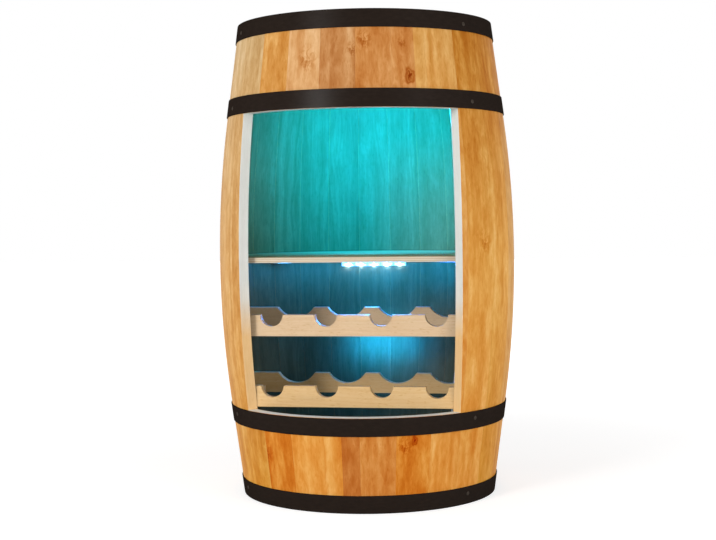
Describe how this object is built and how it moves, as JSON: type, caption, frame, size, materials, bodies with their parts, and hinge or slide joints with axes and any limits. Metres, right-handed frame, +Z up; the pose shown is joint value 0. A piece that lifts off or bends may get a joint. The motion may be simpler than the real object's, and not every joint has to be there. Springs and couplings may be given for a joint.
{
  "type": "barrel bar cabinet",
  "caption": "Upright wooden barrel with steel hoops and a window in its side, a shelf for standing bottles, racks for lying ones and LED light inside.",
  "frame": {"origin": "centre of the standing ring, on the barrel's axis at floor level", "axes": "+Z up along the barrel's axis; the window faces -Y; +X to the right of a person who faces the window"},
  "size_m": [0.5088, 0.4934, 0.8],
  "materials": {
    "stave_alder": "oiled alder, satin",
    "head_alder": "oiled alder, satin",
    "dowel_beech": "plain beech",
    "hoop_steel": "powder-coated steel, black-brown satin",
    "hoop_fastener_steel": "domed steel, black-brown",
    "shelf_plywood": "oiled birch plywood",
    "rack_beech": "oiled beech",
    "screw_steel": "zinc-plated steel",
    "led_tape": "white flexible circuit tape with moulded LED chips",
    "controller_plastic": "moulded ABS",
    "circuit_board": "lacquered glass-epoxy board",
    "key_plastic": "moulded ABS",
    "inlet_plastic": "moulded nylon",
    "wire_vinyl": "extruded soft vinyl"
  },
  "bodies": {
    "cabinet": {"apron_stave_1": "stave_alder", "apron_stave_2": "stave_alder", "apron_stave_3": "stave_alder", "apron_stave_4": "stave_alder", "apron_stave_5": "stave_alder", "bottom_head_boards": "head_alder", "controller_board": "circuit_board", "controller_case": "controller_plastic", "controller_cover": "controller_plastic", "front_rail_lower": "rack_beech", "front_rail_upper": "rack_beech", "head_dowels": "dowel_beech", "header_stave_1": "stave_alder", "header_stave_2": "stave_alder", "header_stave_3": "stave_alder", "header_stave_4": "stave_alder", "header_stave_5": "stave_alder", "hoop_bottom": "hoop_steel", "hoop_lower": "hoop_steel", "hoop_nails": "hoop_fastener_steel", "hoop_rivets": "hoop_fastener_steel", "hoop_top": "hoop_steel", "hoop_upper": "hoop_steel", "led_tape_shelf": "led_tape", "led_tape_upper": "led_tape", "power_inlet": "inlet_plastic", "rear_rail_lower": "rack_beech", "rear_rail_upper": "rack_beech", "shelf": "shelf_plywood", "small_screws": "screw_steel", "stave_01": "stave_alder", "stave_02": "stave_alder", "stave_03": "stave_alder", "stave_04": "stave_alder", "stave_05": "stave_alder", "stave_06": "stave_alder", "stave_07": "stave_alder", "stave_08": "stave_alder", "stave_09": "stave_alder", "stave_10": "stave_alder", "stave_11": "stave_alder", "stave_12": "stave_alder", "stave_13": "stave_alder", "stave_14": "stave_alder", "stave_15": "stave_alder", "stave_16": "stave_alder", "stave_17": "stave_alder", "stave_18": "stave_alder", "support_blocks": "rack_beech", "top_head_board_1": "head_alder", "top_head_board_2": "head_alder", "top_head_board_3": "head_alder", "top_head_board_4": "head_alder", "window_side_stave_left": "stave_alder", "window_side_stave_right": "stave_alder", "wiring": "wire_vinyl", "wood_screws": "screw_steel"},
    "colour_key": {"key_colour": "key_plastic"},
    "brightness_key": {"key_brightness": "key_plastic"},
    "power_key": {"key_power": "key_plastic"}
  },
  "joints": [
    {"name": "colour_key_press", "type": "slide", "parent": "cabinet", "child": "colour_key", "axis": [0.2196, -0.9664, 0.134], "range_m": [0, 0.0005], "stiffness_N_per_m": 600},
    {"name": "brightness_key_press", "type": "slide", "parent": "cabinet", "child": "brightness_key", "axis": [0.2196, -0.9664, 0.134], "range_m": [0, 0.0005], "stiffness_N_per_m": 600},
    {"name": "power_key_press", "type": "slide", "parent": "cabinet", "child": "power_key", "axis": [0.2196, -0.9664, 0.134], "range_m": [0, 0.0005], "stiffness_N_per_m": 600}
  ]
}
